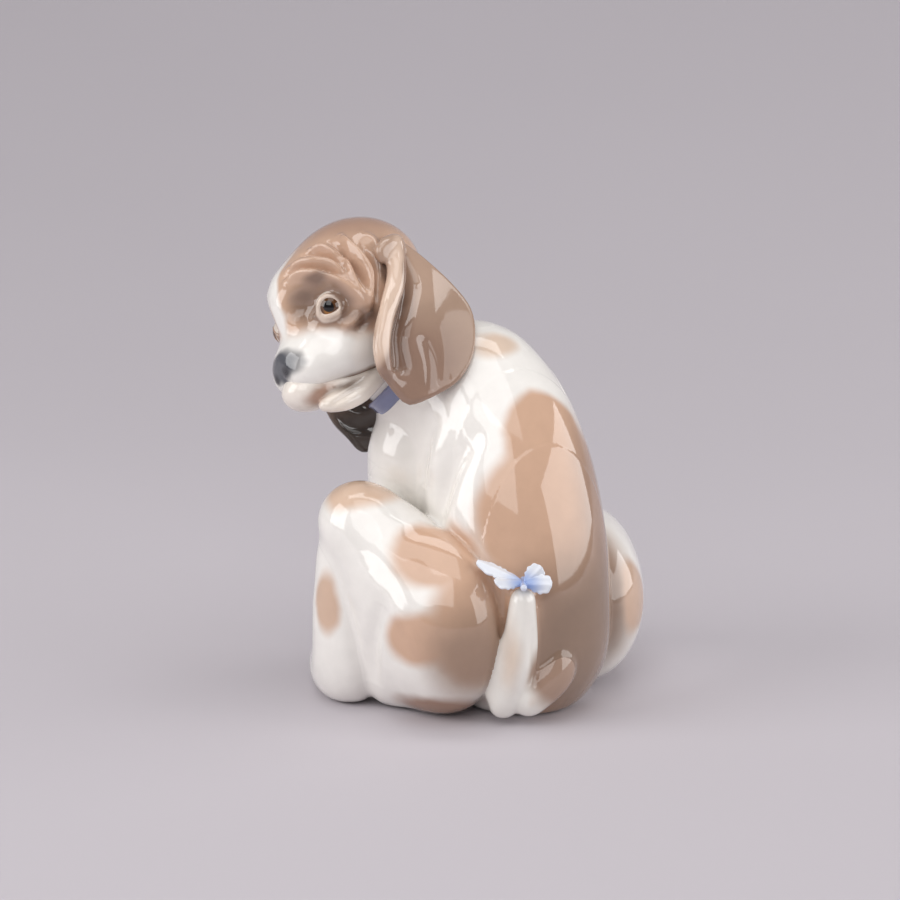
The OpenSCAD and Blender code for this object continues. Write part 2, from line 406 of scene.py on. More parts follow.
# %% Folds of the brow
SKULL_CENTRE = (2, 0, -6)
FOLDS = [  # (line in the head's frame, width, height)
    ([(18.6, 5.5, 5.3), (16.7, 8, 6), (14.4, 11.6, 4.8), (12, 15, 1.6), (9, 17, -2.4), (6.8, 16.8, -6.6),
      (5.4, 15.8, -10.5)], 1.7, 3.2),
    ([(15.6, 5.4, 9.2), (13.6, 8.8, 8.8), (11.3, 12.8, 7.2), (8.4, 15.7, 4.2), (7, 17.4, 0.5)], 1.7, 2.7),
    ([(8.5, 9, 13.2), (6.9, 11.7, 12.5), (6.5, 14.4, 9.8), (5.7, 16.2, 6.4)], 1.2, 2.1),
    ([(-0.5, 14, 13), (0.9, 17, 8.8), (1, 18.4, 3.6), (1.1, 18.6, -2.3), (3.1, 17, -7.5), (5, 16, -10.8)],
     1.3, 3.0),
    ([(3.6, 17.3, 6), (5.2, 17.8, 1.6), (5.6, 17.4, -4), (3.6, 16.4, -9)], 1.0, 2.0),
    ([(-6.2, 16, 10.5), (-6.5, 17.9, 6), (-4, 19, 2), (-2.4, 19, -3)], 1.6, 1.2),
    ([(12.7, 13, -11.3), (9.9, 14, -12), (6.6, 15, -10.5)], 1.3, 1.3),
]
GROOVES = [
    ([(17.6, 4.8, 7.2), (15.3, 8.1, 7.6), (13.1, 12.3, 6), (10.5, 15.2, 3.2), (8, 17.1, -1.2)], 0.75, 1.5),
    ([(11, 7, 12.2), (8.9, 10.5, 11.7), (7.9, 14.2, 8.7), (6.8, 16.4, 4.6), (6.5, 17.5, 1)], 0.75, 1.5),
    ([(3.2, 12.8, 13.4), (2.8, 16.2, 9.9), (3.3, 17.3, 6.6), (3.3, 18, 1), (3.6, 17.6, -5)], 0.75, 1.7),
    ([(-3.4, 18, 7.5), (-1.9, 19, 2.5), (-0.9, 18.8, -2.5), (1.2, 18, -7), (2.5, 17, -11)], 0.9, 1.8),
    ([(9.8, 13.2, -13.9), (8.2, 13.8, -14.3), (5.2, 14.8, -13.2)], 0.9, 0.8),
]
FAR_SIDE = 0.15                 # height of the folds on the side turned away


def skin_folds(q):
    """How far the folds stand out from the skull."""
    s = mirrored(q)
    rise = sum(height * stroke(s, line, width, SKULL_CENTRE) for line, width, height in FOLDS)
    sink = sum(depth * stroke(s, line, width, SKULL_CENTRE) for line, width, depth in GROOVES)
    side = (1 + FAR_SIDE) / 2 + (1 - FAR_SIDE) / 2 * np.tanh(q[:, 1] / 4)
    return (rise - sink) * side


# %% [markdown]
# ## The muzzle
# Plump upper lips hang over the mouth, and the nose pad sits on their front with
# a comma-shaped nostril on each side. The groove below the pad is the philtrum.

# %% Muzzle, lips and nose pad
def muzzle(q):
    """The bridge of the nose and the plump upper lips."""
    s = mirrored(q)
    f = limb(q, [(6, 0, -13.5, 11, 10.5, 9.2), (16, 0, -16, 9.5, 9.2, 8.2), (22, 0, -16.6, 6, 7, 6)], 1.5)
    lips = meld(1.5, egg(s, (18.6, 5, -19.3), (8.2, 5.3, 6.1)), egg(s, (10.5, 8, -20), (9, 6.4, 6.8)),
                egg(s, (24, 3, -19.6), (4.2, 3.6, 4.3)))
    return meld(1.5, f, lips)


def nose_pad(q):
    """The pad, with a nostril and a side slit pressed in, and the groove below."""
    s = mirrored(q)
    f = meld(0.8, egg(q, (24.6, 0.8, -14.6), (3.2, 4.6, 2.8)), egg(s, (23.9, 3.6, -16.6), (3, 3.6, 3.3)),
             egg(q, (25.8, 0, -18), (2.6, 2.1, 3.2)))
    f = press(f, egg(s, (28.2, 2.8, -17.8), (1.9, 1.2, 1.3)), 0.3)
    f = press(f, egg(s, (25.2, 6.5, -16.4), (1.7, 1.5, 0.8)), 0.25)
    return f + 0.5 * stroke(q, [(28.6, 0, -17), (27.9, 0, -19.6), (26.6, 0, -22)], 0.6, (19, 0, -17))


# %% [markdown]
# ## Eyes and lids
# The eyeballs are separate little balls set in sockets. The lids are a thin roll
# of clay laid over each ball, round the almond-shaped opening. Both corners sit
# low, as they do on a hound, and the inner one points at the nose.

# %% Sockets and lids
GAZE = np.array([0.66, 0.745, 0.0])
GAZE /= np.linalg.norm(GAZE)
eye_radius = (node_box("left_eye")[1] - node_box("left_eye")[0])[0] / 2
print("eye radius", eye_radius.round(2), "mm")


def lid_line(width, height, droop, thick):
    """Stations around an opening of this half width and height, which lie on the ball."""
    out = np.array([-GAZE[1], GAZE[0], 0])
    rows = []
    for a in np.linspace(0, 2 * math.pi, 17):
        w = width * math.cos(a)
        h = height * math.sin(a) - droop * math.cos(a) ** 2
        depth = math.sqrt(eye_radius ** 2 - w * w - h * h)
        rows.append((*(EYE + out * w + GAZE * depth + (0, 0, h)), thick, thick, thick))
    return rows


LIDS = lid_line(width=3.4, height=2.75, droop=0.8, thick=0.62)
FAR_LID = 0.4                   # the far eye's lids lie this much deeper


def eye_socket(q, f):
    """Presses the sockets into the head and lays the lids round the eyes."""
    s = mirrored(q)
    f = press(f, egg(s, (21, 9.4, -3), (5, 4.8, 4.6)), 1.5)
    f = press(f, egg(s, (17, 14.5, -1.6), (4.4, 4, 2.4)), 1.0)
    f = press(f, egg(s, EYE + GAZE * 4.2, (3.4, 3.4, 3.4)), 0.3)
    lids = meld(0.4, limb(s, LIDS, 0.4, 0.8), egg(s, EYE + (3.7, -2.8, -1), (1.2, 1.1, 0.8)))
    lids = lids + np.where(q[:, 1] < 0, FAR_LID, 0)
    return meld(0.6, f, lids)


# %% [markdown]
# ## The head casting
# The head is cast with the top of the neck and ends at the collar, which hides
# the seam. Everything is melded into one field before it is skinned.

# %% The head
def skull(q):
    """The skull, the muzzle and the folds, with the eyes' sockets."""
    f = meld(2.5, egg(q, (-8, 0, 0), (20.3, 18.2, 17.2)), egg(q, (6, 0, -3.5), (15.3, 16.4, 14.8)),
             egg(q, (-4, 0, -10), (15, 17.2, 15)), egg(q, (8, 0, -16), (10.5, 12.4, 9.5)),
             egg(q, (14.8, 0, -2), (5.2, 4, 8)))
    f = meld(1.8, f, muzzle(q))
    return eye_socket(q, f - skin_folds(q))


COLLAR_AT = np.array([16, -25, 92.0])
NECK_DIR = np.array([14, -11, 16.0])
NECK_DIR /= np.linalg.norm(NECK_DIR)


def along_neck(p):
    """Height above the middle of the collar, along the neck."""
    return seen_from(p, COLLAR_AT, NECK_DIR)


def head_field(p):
    """The head with the top of the neck, cut off at the collar."""
    q = in_head(p)
    nape = limb(p, [(16, -25, 92, 15, 15, 14), (28, -36, 108, 14, 14, 13)], 1.5)
    f = meld(0.6, meld(1.5, skull(q), nape), nose_pad(q))
    return np.maximum(f, -along_neck(p) - 2)


HEAD_VOXEL = 0.4
piece("head_shell", head_field, 4, HEAD_VOXEL)

# %% [markdown]
# ## The lower jaw
# The chin carries the lower lip, whose soft flap hangs below the corner of the
# mouth on the side that the head is tilted towards.

# %% The jaw
def jaw(p):
    """The chin, the hanging flap of lip and the closed lip on the far side."""
    q = in_head(p)
    s = mirrored(q)
    chin = meld(1.5, egg(q, (22.6, 0, -25), (7.2, 6.6, 5.2)), egg(q, (13, 0, -25.5), (10, 8.3, 5.6)),
                egg(q, (25.8, 0, -23.6), (4.3, 4.8, 3.6)))
    flap = limb(q, [(25, 6.8, -30.6, 1.6, 1.6, 1.5), (20.5, 8.5, -31.6, 3.6, 2.2, 2.7),
                    (13.5, 9.4, -31, 3.6, 2.4, 3), (7, 9.8, -29.3, 3, 2.2, 2.4),
                    (2, 10, -27.5, 2, 2, 2)], 0.7)
    far_lip = limb(s, [(20, 6.5, -27, 2, 1.6, 1.8), (10, 8.6, -27.5, 2.4, 1.8, 2)], 0.8)
    f = meld(0.9, chin, flap, far_lip)
    return f + 0.7 * stroke(q, [(24.5, 9, -31.4), (19, 11, -30.8), (13, 12, -30.2)], 0.8, (15, 0, -28))


piece("lower_jaw", jaw, 5, HEAD_VOXEL)

# %% [markdown]
# ## The ears
# Each ear is a leaf of clay, pressed out flat, cut to shape and draped while it
# is soft. Its outline is drawn in the head's XZ plane, and a second formula says
# how far out it lies at each place. On the near ear the front edge is rolled over into a welt.

# %% Outlines
def closed(loop, step):
    """A smooth closed outline through the given points."""
    rows = np.asarray(loop, float)
    wrapped = np.vstack([rows[-2:], rows, rows[:3]])
    made = spline(np.hstack([wrapped, np.zeros((len(wrapped), 1))]), step)
    starts = np.flatnonzero(np.linalg.norm(made[:, :2] - rows[0], axis=1) < 1e-6)
    return made[starts[0]:starts[1], :2]


def line_distance(u, v, loop):
    """Squared distance in a plane from a broken line."""
    best = np.full(len(u), 1e9)
    for (x1, y1), (x2, y2) in zip(loop, loop[1:]):
        dx, dy = x2 - x1, y2 - y1
        h = np.clip(((u - x1) * dx + (v - y1) * dy) / (dx * dx + dy * dy), 0, 1)
        best = np.minimum(best, (u - x1 - h * dx) ** 2 + (v - y1 - h * dy) ** 2)
    return best


def outline_distance(u, v, loop):
    """Distance in a plane from a closed outline, negative inside."""
    inside = np.zeros(len(u), bool)
    for (x1, y1), (x2, y2) in zip(loop, np.roll(loop, -1, 0)):
        slant = (x2 - x1) / (y2 - y1) if y2 != y1 else 0
        inside ^= ((y1 > v) != (y2 > v)) & (u < slant * (v - y1) + x1)
    return np.sqrt(line_distance(u, v, np.vstack([loop, loop[:1]]))) * np.where(inside, -1, 1)


# %% A draped leaf of clay
def rounded(a, b, radius):
    """The overlap of two fields, with the edge where they meet rounded off."""
    return np.minimum(np.maximum(a, b), 0) + np.hypot(np.maximum(a, 0), np.maximum(b, 0)) - radius


STEEP = 0.8                     # a slanting sheet is this much nearer than it is along Y


def leaf(q, loop, lie, half):
    """A sheet of clay, 2 * half thick, with round edges; lie(u, v) is its Y."""
    u, v = q[:, 0], q[:, 2]
    a = outline_distance(u, v, loop) + half
    b = (np.abs(q[:, 1] - lie(u, v)) - half) * STEEP + half
    return rounded(a, b, half)


def welt(u, v, line, width):
    """1 along a line in the leaf, fading to both sides."""
    flat = spline([(x, z, 0) for x, z in line], 2)[:, :2]
    return np.exp(-line_distance(u, v, flat) / width ** 2)


# %% The left ear
LEFT_EAR = closed([(-8, 5), (-14, 5), (-18.5, 0), (-21, -7), (-21.7, -15), (-20.3, -23), (-15.2, -31.3),
                   (-9.5, -37.2), (-3.7, -40.4), (3.4, -41.2), (9, -40.6), (11, -37), (12.3, -33),
                   (13.7, -28), (12.4, -21), (9.1, -16.4), (3.8, -10.6), (-2, -5.8), (-6, -1)], 2)


def left_lie(u, v):
    """Flat against the cheek in front, flaring over the shoulder behind and below."""
    drape = 22.0 + 0.48 * u + 0.245 * v + 0.010 * u * u + 0.008 * v * v + 0.0256 * u * v
    belly = 3.4 * np.exp(-((u - 5) ** 2 + (v + 19) ** 2) / 17 ** 2)
    valley = 3.2 * welt(u, v, [(-11, -1), (-9, -8), (-3, -14), (4.5, -21), (7.5, -29)], 2.3)
    pleat = 0.5 * welt(u, v, [(-9, -24), (-6, -31), (-2, -38)], 1.5)
    dimple = 0.5 * welt(u, v, [(-2, -26), (0, -33), (3, -39)], 1.4)
    return drape + belly - valley - pleat - dimple


ROLL = [(-12, 19.3, 3.6, 2.2, 2.2, 2.0), (-8.5, 20.2, 3.9, 2, 1.9, 1.7), (-5.2, 20.2, 2.8, 1.8, 1.8, 1.6),
        (-4.9, 19.6, 0.6, 1.5, 1.5, 1.5)]
WELT = [(-11.5, 19.6, 2, 2.2, 1.9, 2.2), (-8, 21.4, -3, 2.2, 1.9, 2.4), (-4.2, 22.2, -8, 2.1, 1.9, 2.4),
        (2, 22.9, -13, 2.1, 1.9, 2.2), (7.8, 23.1, -18.3, 1.9, 1.8, 2.1), (11.2, 23, -23.5, 1.7, 1.6, 2),
        (12.4, 22.4, -29, 1.2, 1.2, 1.8)]


def left_ear_field(p):
    """The near ear: a leaf with its front edge rolled over."""
    q = in_head(p)
    sheet = leaf(q, LEFT_EAR, left_lie, 1.4)
    return meld(0.7, sheet, limb(q, WELT, 0.8, 1.5), limb(q, ROLL, 0.6, 1.2))


piece("left_ear", left_ear_field, 6, HEAD_VOXEL)

# %% The right ear
RIGHT_EAR = closed([(-7, 6), (-14, 4), (-21, -5), (-23.5, -15), (-21, -28), (-16.5, -37.6), (-13.8, -42.6),
                    (-9.6, -45.8), (-6.4, -46.3), (-3.6, -44.6), (-0.3, -40.4), (2.4, -34.9), (3.7, -31),
                    (5, -25), (2.5, -15), (-2, -4)], 2)


def right_lie(u, v):
    """The far ear hangs and flares, with a few soft folds near its tip."""
    drape = np.interp(v, [-46, -36, -24, -10, 0, 8], [-28, -26.3, -23.5, -20, -16.5, -12])
    folds = 1.0 * np.sin(0.9 * np.hypot(u + 9, v + 27)) * np.exp(-((u + 5) ** 2 + (v + 38) ** 2) / 10 ** 2)
    return drape + 0.012 * (u + 8) ** 2 + folds


piece("right_ear", lambda p: leaf(in_head(p), RIGHT_EAR, right_lie, 1.5), 5, HEAD_VOXEL)

# %% [markdown]
# ## The eyeballs
# A porcelain eye can be a small ball, pressed, fired and set in from the front.
# A drop of glaze makes its front bulge a little, so each ball is melded with a
# smaller one that stands forward. The iris and the pupil are painted on it later.

# %% The eyes
EYE_VOXEL = 0.25
for side, mirror in (("left", 1), ("right", -1)):
    def eyeball(p, at=eyes[side], look=HEAD_TURN @ (GAZE * (1, mirror, 1))):
        ball = egg(p, at, (eye_radius - 0.02,) * 3)
        return meld(0.25, ball, egg(p, at + look * 0.9, (eye_radius * 0.8,) * 3))
    piece(f"{side}_eye", eyeball, 1, EYE_VOXEL)

# %% [markdown]
# ## The collar
# A strip of clay laid around the neck joint. Two fine edges are rolled along it,
# and it covers the seam between the head and the body.

# %% A ribbon around the neck
NECK_R, COLLAR_T, COLLAR_W = 15, 1.4, 5


def collar_field(p):
    """A strip round the neck with a fine cord along both edges."""
    h = along_neck(p)
    rho = np.sqrt(((p - COLLAR_AT.astype(p.dtype) - h[:, None] * NECK_DIR.astype(p.dtype)) ** 2).sum(1))
    edge = 0.45                 # rounding of the strip's edges
    a = np.abs(rho - NECK_R - (COLLAR_T - 1) / 2) - (COLLAR_T + 1) / 2 + edge
    b = np.abs(h) - COLLAR_W / 2 + edge
    band = rounded(a, b, edge)
    cords = np.hypot(rho - NECK_R - COLLAR_T + 0.25, np.abs(h) - COLLAR_W / 2 + 0.6) - 0.5
    return meld(0.2, band, cords)


piece("collar", collar_field, 1, HEAD_VOXEL)

# %% [markdown]
# ## The butterfly
# The smallest pieces are not cast but pinched from a bead of clay by hand, each
# wing a petal that is thin at its edge, and stuck on the tip of the tail.

# %% Where the butterfly sits
BUG_TURN = np.array(Euler((0, 0, math.radians(-30))).to_matrix())
tail_tip = np.array([13.8, 32.6, tail_top + 0.4])


def in_bug(p):
    """Points of the figure in the butterfly's own frame."""
    return seen_from(p, tail_tip, BUG_TURN)


BUG = [(0, -4, 1.4, 0.7, 1.2, 0.7), (0, -1.5, 0.9, 0.9, 1.2, 0.9), (0, 0.8, 0.8, 1.1, 1.3, 1.1),
       (0, 3.4, 0.9, 0.9, 1.1, 0.9), (0, 5, 1.2, 0.9, 0.9, 0.9)]
BUG_VOXEL = 0.2
piece("butterfly_body", lambda p: limb(in_bug(p), BUG, 0.3, 0.7), 1, BUG_VOXEL)

# %% The wings
WINGS = {  # tip, half width, how far the petal's middle is blown up
    "left_forewing": ((13, -2.8, 6.2), 2.4, 0.5),
    "left_hindwing": ((8.2, 2.9, 2), 2.6, 0.5),
    "right_forewing": ((-5, -1.7, 5.4), 2.7, 0.6),
    "right_hindwing": ((-8, 1.8, 1.2), 2.9, 0.6),
}


def petal(tip, half_width, dome):
    """A thin petal from the butterfly's back to its tip, notched like a real wing."""
    tip = np.array(tip)
    root = np.array([0.5 * np.sign(tip[0]), 0.1 * tip[1], 1.0])
    length = np.linalg.norm(tip - root)
    ahead = (tip - root) / length
    across = np.cross(ahead, (0, 0.45, 0.9) if tip[0] > 0 else (0, 0.85, 0.5))
    across /= np.linalg.norm(across)
    up = np.cross(across, ahead)

    def field(p):
        s = in_bug(p) - root
        t, w, h = s @ ahead / length, s @ across, s @ up
        span = np.clip(t, 0.02, 1)
        width = half_width * np.sqrt(np.clip(4 * span * (1 - span), 0.02, 1)) * (0.65 + 0.55 * span)
        width = width + 0.18 * np.cos(9 * np.arctan2(w, (t - 0.5) * length))
        rim = np.maximum(np.abs(w) - width, np.maximum(t - 1, -t) * length)
        thick = 0.42 - 0.10 * np.clip(t, 0, 1)
        arch = dome * (1 - (w / half_width) ** 2) + 0.12 * np.cos(5 * w / half_width)
        sheet = np.abs(h - arch) - thick
        a, b = rim + thick, sheet + thick
        return rounded(a, b, thick)
    return field


for name, shape in WINGS.items():
    piece(name, petal(*shape), 3, BUG_VOXEL)

# %% [markdown]
# ## Colours under a glaze
# Porcelain paint is a metal oxide, sprayed on in soft patches and sealed under
# clear glaze. Its colours are written as sRGB hex, the way a colour chart gives
# them, and one function turns them into the linear values that Blender mixes.

# %% Colour and node helpers
def linear(hexcode):
    """An sRGB hex colour as linear red, green, blue and alpha."""
    parts = [int(hexcode[i:i + 2], 16) / 255 for i in (1, 3, 5)]
    return [c / 12.92 if c <= 0.04045 else ((c + 0.055) / 1.055) ** 2.4 for c in parts] + [1]


def add(tree, kind, settings=(), links=(), **inputs):
    """Adds a node, sets its properties and inputs, and links (input, output) pairs."""
    node = tree.nodes.new(kind)
    for key, value in dict(settings).items():
        setattr(node, key, value)
    for key, value in inputs.items():
        node.inputs[key.replace("_", " ")].default_value = value
    for key, output in dict(links).items():
        tree.links.new(output, node.inputs[key])
    return node


# %% [markdown]
# ## Glazed porcelain
# Clear glaze over painted porcelain: a hard, glassy coat (IOR 1.5) that mirrors
# the lights with crisp edges. A melted glaze is never quite flat, so a very low
# bump breaks the edges of the reflections. Each patch, of paint or of painted shade, is an egg in space,
# and where it cuts the surface its soft rim shows, as from an airbrush.

# %% A new material and its own frame
def new_material(name):
    """A material, its node tree and its shader."""
    mat = bpy.data.materials.new(name)
    mat.use_nodes = True
    return mat, mat.node_tree, mat.node_tree.nodes["Principled BSDF"]


def paint_place(tree, in_head_frame):
    """Where a point of the surface is, in the figure's frame or in the head's."""
    place = add(tree, "ShaderNodeTexCoord").outputs["Object"]
    if not in_head_frame:
        return place
    turn = Euler([math.radians(a) for a in (TILT, NOD, TURN)])
    return add(tree, "ShaderNodeMapping", {"vector_type": "TEXTURE"}, {"Vector": place},
               Location=HEAD_AT * MM, Rotation=turn).outputs["Vector"]


# %% Airbrushed patches
DRIFT_SIZE, DRIFT = 12, 4       # the rims wander by a millimetre or two, in clouds this wide
NO_TURN = (0, 0, 0)


def paint_and_shade_patches(tree, place, ground, patches):
    """The colour of a ground with one or more soft patches of paint or of painted shade (colour, centre,
    radii, softness[, turn]).
    """
    drift = add(tree, "ShaderNodeTexNoise", {}, {"Vector": place},
                Scale=1 / (DRIFT_SIZE * MM), Detail=2.0)
    centred = add(tree, "ShaderNodeVectorMath", {"operation": "SUBTRACT"}, {0: drift.outputs["Color"]})
    centred.inputs[1].default_value = (0.5, 0.5, 0.5)
    pushed = add(tree, "ShaderNodeVectorMath", {"operation": "MULTIPLY_ADD"},
                 {0: centred.outputs[0], 2: place})
    pushed.inputs[1].default_value = (DRIFT * MM,) * 3
    colour = None
    for paint, centre, radii, soft, *turn in patches:
        egg_frame = add(tree, "ShaderNodeMapping", {"vector_type": "TEXTURE"},
                        {"Vector": pushed.outputs[0]},
                        Location=np.array(centre) * MM, Scale=np.array(radii) * MM,
                        Rotation=[math.radians(a) for a in (turn[0] if turn else NO_TURN)])
        radius = add(tree, "ShaderNodeVectorMath", {"operation": "LENGTH"}, {0: egg_frame.outputs[0]})
        rim = add(tree, "ShaderNodeMapRange", {"interpolation_type": "SMOOTHSTEP"},
                  {"Value": radius.outputs["Value"]}, From_Min=1 + soft, From_Max=1 - soft)
        mix = add(tree, "ShaderNodeMix", {"data_type": "RGBA"}, {"Factor": rim.outputs["Result"]})
        mix.inputs[6].default_value = linear(ground)
        mix.inputs[7].default_value = linear(paint)
        if colour:
            tree.links.new(colour, mix.inputs[6])
        colour = mix.outputs[2]
    return colour


# %% The glaze recipe
CLOUD_SIZE = 5                  # brushed oxide is thinner and thicker in clouds this wide
MELT_SIZE = 6                   # the melted glaze rises and sinks over this many millimetres


def glazed(name, ground, patches, in_head_frame=False, rough=0.06, mottle=0.06, wave=0.03):
    """Clear-glazed porcelain: mottle is how uneven the paint is, wave the glaze's depth in mm."""
    mat, tree, shader = new_material(name)
    place = paint_place(tree, in_head_frame)
    colour = paint_and_shade_patches(tree, place, ground, patches)
    cloud = add(tree, "ShaderNodeTexNoise", {}, {"Vector": place},
                Scale=1 / (CLOUD_SIZE * MM), Detail=4.0)
    depth = add(tree, "ShaderNodeMapRange", {}, {"Value": cloud.outputs["Fac"]},
                To_Min=1 - mottle, To_Max=1 + mottle)
    toned = add(tree, "ShaderNodeVectorMath", {"operation": "SCALE"},
                {0: colour, "Scale": depth.outputs["Result"]})
    tree.links.new(toned.outputs[0], shader.inputs["Base Color"])
    melt = add(tree, "ShaderNodeTexNoise", {}, {"Vector": place},
               Scale=1 / (MELT_SIZE * MM), Detail=1.0)
    bump = add(tree, "ShaderNodeBump", {}, {"Height": melt.outputs["Fac"]},
               Strength=1.0, Distance=wave * MM)
    tree.links.new(bump.outputs["Normal"], shader.inputs["Normal"])
    shader.inputs["Roughness"].default_value = rough
    shader.inputs["IOR"].default_value = 1.5
    shader.inputs["Coat Weight"].default_value = 0.5
    shader.inputs["Coat Roughness"].default_value = 0.03
    print(f"{name}: {len(patches)} patches")
    return mat


def paint(names, mat):
    """Puts one material on several pieces."""
    for name in names:
        shaped[name].data.materials.append(mat)


# %% [markdown]
# ## The coat
# The puppy is a warm white with tan patches: one down its back, two on the left
# haunch, and others on the left knee and foot, the right thigh and the nape.
# Low on the back, down its right side and low on the left haunch the coat is darkened with painted shade.

# %% Paint the body
WHITE, TAN, SHADE_BROWN = "#f2eee8", "#d0ab91", "#a78a77"
BACK = [
    (TAN, (-5, 25, 58), (27, 22, 24), 0.10), (TAN, (-3, 18, 78), (14, 12, 15), 0.14),
    # The dark brown patch at the end of the next line and the dark one below it are painted shade, down the
    # turned-away right side and low on the back.
    (TAN, (-4, 32, 28), (22, 22, 32), 0.10), (SHADE_BROWN, (-20, 24, 54), (12, 18, 34), 0.5),
    ("#8a7261", (-9, 30, 22), (25, 17, 26), 0.5),
    ("#dcc5b1", (3, -2, 101), (7, 5, 5), 0.35),
]
HAUNCH = [
    (TAN, (31, 14, 48), (13, 12, 10), 0.2), (TAN, (24, 28, 32), (15, 12, 18), 0.25),
    # The brown patch at the end of the next line is painted shade behind the haunch, beside the tail, and
    # the patch below it is painted shade where the haunch meets the floor.
    (TAN, (38, 19, 27), (12, 10, 8), 0.25), ("#9f836f", (28, 29, 22), (13, 9, 14), 0.7),
    ("#a3816c", (33, 17, 4), (14, 12, 5), 0.4),
]
KNEES = [
    ("#dcbfa8", (44, -8, 64), (15, 9, 5.5), 0.3), ("#d2b39c", (54, -9, 32), (4, 5, 9), 0.3),
    ("#cbad97", (-33, 19, 29), (7, 8, 12), 0.25),
]
paint(PAINTED,
      glazed("glazed_porcelain_coat_and_painted_shade", WHITE, BACK + HAUNCH + KNEES))
paint(["left_hind_foot", "right_hind_foot", "left_foreleg", "right_foreleg"],
      glazed("glazed_porcelain_white_legs", WHITE, KNEES))
# All three tail patches are painted shade: where the tail root meets the body, low in the groove on its
# front by the floor, and down its left edge.
TAIL_SHADE = [("#a38775", (4, 34, 15), (8.5, 9, 10), 0.35), ("#cdb09a", (13.5, 38, 8), (2.6, 3, 4), 0.5),
        ("#dccbbb", (19, 34, 22), (2.5, 3, 9), 0.9)]
paint(["tail"], glazed("glazed_porcelain_tail", "#ece8e1", TAIL_SHADE))

# %% [markdown]
# ## The face
# The head is tan with a white blaze and muzzle, the nose is grey, and the near lids are left pale. The
# sockets, the grooves above the eyes, the gap by the ear, the cheek folds, the mouth line and the nostrils
# are darkened with painted shade, and the far lids are painted darker as shade.

# %% Paint the head
FACE = [
    ("#b08f7b", (-12, 0, 14), (17, 22, 9), 0.5),
    ("#c7a58e", (8, 14, 4), (9, 9, 12), 0.5),
    (WHITE, (15, 0, -24), (24, 18, 17), 0.10), (WHITE, (18, 0, 2), (15, 2.3, 14), 0.35),
    (WHITE, (17, -5, 6), (9, 5.5, 9), 0.3),
    (WHITE, (4, 0, -34), (30, 22, 16), 0.15),
    # The next three lines are painted shade: in both sockets, in the groove above each eye, round the near
    # eye and deeper in the far socket.
    ("#6f594b", (18.5, 9.2, -2.6), (4.8, 4.8, 5), 0.7), ("#6f594b", (18.5, -9.2, -2.6), (4.8, 4.8, 5), 0.7),
    ("#8a7060", (15, 14, 2), (4, 4, 2), 0.6), ("#8a7060", (15, -14, 2), (4, 4, 2), 0.6),
    ("#836a5b", (13.5, 14, -5.8), (6, 6, 5.6), 0.4), ("#6a564a", (17.5, -9, -4.5), (4.6, 4.6, 5), 0.5),
    # The near lids keep their pale cream; the far lids are painted darker, as shade.
    ("#d9c6b6", (14.8, 13.8, -6), (4, 4, 3.8), 0.12), ("#a88b78", (14.8, -13.8, -6), (4, 4, 3.8), 0.15),
    # Painted shade in the gap between the ear and the skull, and in both cheek folds.
    ("#8b7263", (-4.7, 19, -1.9), (2.2, 5, 6.5), 0.5),
    ("#8b7263", (6, 15.5, -12.5), (5, 4, 3.5), 0.5), ("#8b7263", (6, -15.5, -12.5), (5, 4, 3.5), 0.5),
    ("#5c5d62", (24.6, 0.8, -16.6), (5.4, 8, 5.2), 0.12),
    # The nostrils are painted near-black, as shade in them.
    ("#26262a", (27.4, 2.6, -17.8), (2.2, 1.8, 1.7), 0.5),
    ("#26262a", (27.4, -3.4, -17.8), (2.2, 1.8, 1.7), 0.5),
    # Painted shadow under the upper lip, along the mouth line.
    ("#8d7565", (13, 9, -27), (14, 4, 1.4), 0.5),
]
paint(["head_shell"], glazed("glazed_porcelain_head_and_painted_shade", "#cdab93", FACE, in_head_frame=True))
# The first two chin patches are painted shade under the overhanging upper lip; the third is the flap's own
# cream.
CHIN = [("#b08f7c", (23.5, 6.2, -28), (6, 3.4, 2.6), 0.6),
        ("#6f5b4d", (12, 8.6, -28.4), (13, 2.8, 1.4), 0.5),
        ("#e6dacd", (22, 8.6, -31), (5, 3, 2.6), 0.6)]
paint(["lower_jaw"], glazed("glazed_porcelain_chin", "#efe6dc", CHIN, in_head_frame=True))

# %% [markdown]
# ## Ears, eyes and blue pieces
# The ears are a greyer brown, lighter at the top and darker towards the bottom. A painted highlight runs
# along the near ear's rolled edge and painted shade lies in the valley beside it; the far ear is painted
# darker, as shade under the head. The eyes are painted amber with a black pupil under a thick drop of
# glaze. The collar and the butterfly have a thin wash of cobalt.

# %% Paint the ears
EAR = [
    ("#b79a86", (-8, 22, -4), (16, 8, 12), 0.4), ("#927666", (4, 22, -32), (18, 10, 13), 0.5),
    # Painted shade in the valley, and on the next line a painted highlight along the rolled edge.
    ("#7a5f50", (-1, 20.5, -14), (4, 8, 14), 0.6, (0, -38, 0)),
    ("#dcc2ae", (2, 23.5, -12), (2.6, 6, 22), 0.35, (0, -42, 0)),
]
# The far ear is painted darker all over, as shade under the head.
FAR_EAR_SHADE = [("#7c6557", (-8, -24, -20), (20, 9, 24), 0.4), ("#4a3f38", (-6, -27, -40), (14, 8, 12), 0.5)]
paint(["left_ear"], glazed("glazed_porcelain_brown_ear", "#a88d7a", EAR, in_head_frame=True))
paint(["right_ear"], glazed("glazed_porcelain_far_ear", "#9a7f6e", FAR_EAR_SHADE, in_head_frame=True))

